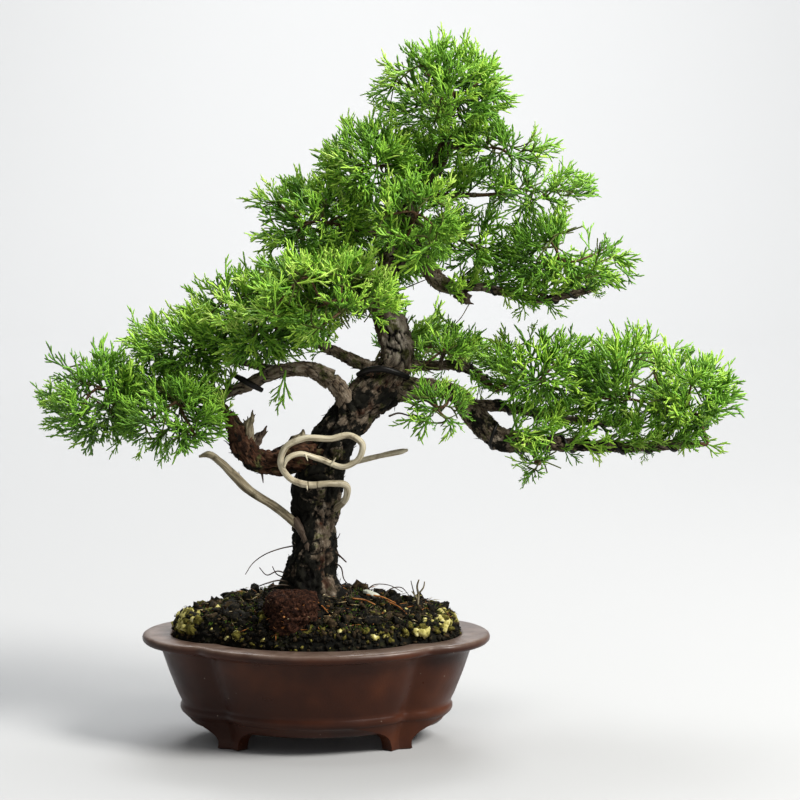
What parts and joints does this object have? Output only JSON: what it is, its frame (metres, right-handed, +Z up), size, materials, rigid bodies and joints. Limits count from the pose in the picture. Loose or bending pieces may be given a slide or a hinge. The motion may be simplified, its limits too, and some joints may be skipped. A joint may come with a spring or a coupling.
{
  "type": "bonsai chinese juniper",
  "caption": "Potted bonsai conifer: leaning trunk with dead wood, long low boughs and cloud-like masses of foliage in a brown unglazed quatrefoil pot on four bracket feet.",
  "frame": {"origin": "the middle of the bottom of the whole box, on the surface that the pot's feet stand on", "axes": "+Z up, +X to the right and +Y away from someone who looks at the tree's front"},
  "size_m": [0.3824, 0.196, 0.3874],
  "materials": {
    "pot_clay": "matte",
    "soil": "matte",
    "pumice": "matte",
    "fertiliser": "matte",
    "bark": "matte",
    "dead_wood": "matte",
    "foliage": "satin",
    "training_wire": "satin"
  },
  "bodies": {
    "root": {"pot": "pot_clay", "soil": "soil", "fertiliser_cake": "fertiliser", "trunk": "bark", "left_low_bough": "bark", "left_upper_base": "bark", "left_upper_bough": "bark", "left_centre_bough": "bark", "left_tier_bough": "bark", "left_shelf_front_bough": "bark", "left_shelf_back_bough": "bark", "left_mid_bough": "bark", "left_high_bough": "bark", "front_centre_bough": "bark", "right_low_bough": "bark", "right_low_parallel": "bark", "pale_upper_limb": "bark", "right_mid_bough": "bark", "right_mid_riser": "bark", "right_mid_inner_bough": "bark", "right_low_inner_riser": "bark", "front_tuft_twig": "bark", "hanging_twig": "bark", "right_upper_bough": "bark", "right_high_bough": "bark", "back_low_bough": "bark", "back_mid_bough": "bark", "back_high_bough": "bark", "dead_branch_left": "dead_wood", "dead_stub_right": "dead_wood", "left_stub_front": "dead_wood", "left_stub_back": "dead_wood", "left_base_stub": "dead_wood", "right_mid_stub": "dead_wood", "dead_loop": "dead_wood", "foliage_apex": "foliage", "foliage_right_high": "foliage", "foliage_right_upper": "foliage", "foliage_left_high": "foliage", "foliage_left_mid": "foliage", "foliage_front_centre": "foliage", "foliage_shelf_front": "foliage", "foliage_shelf_outer": "foliage", "foliage_shelf_back": "foliage", "foliage_left_tier": "foliage", "foliage_far_left_outer": "foliage", "foliage_far_left_inner": "foliage", "foliage_right_mid_outer": "foliage", "foliage_right_mid_inner": "foliage", "foliage_right_low_inner": "foliage", "foliage_right_low_front": "foliage", "foliage_right_low_middle": "foliage", "foliage_right_low_outer": "foliage", "foliage_right_low_tip": "foliage", "foliage_hanging_tuft": "foliage", "foliage_back_low": "foliage", "foliage_back_mid": "foliage", "foliage_back_high": "foliage"}
  },
  "joints": []
}
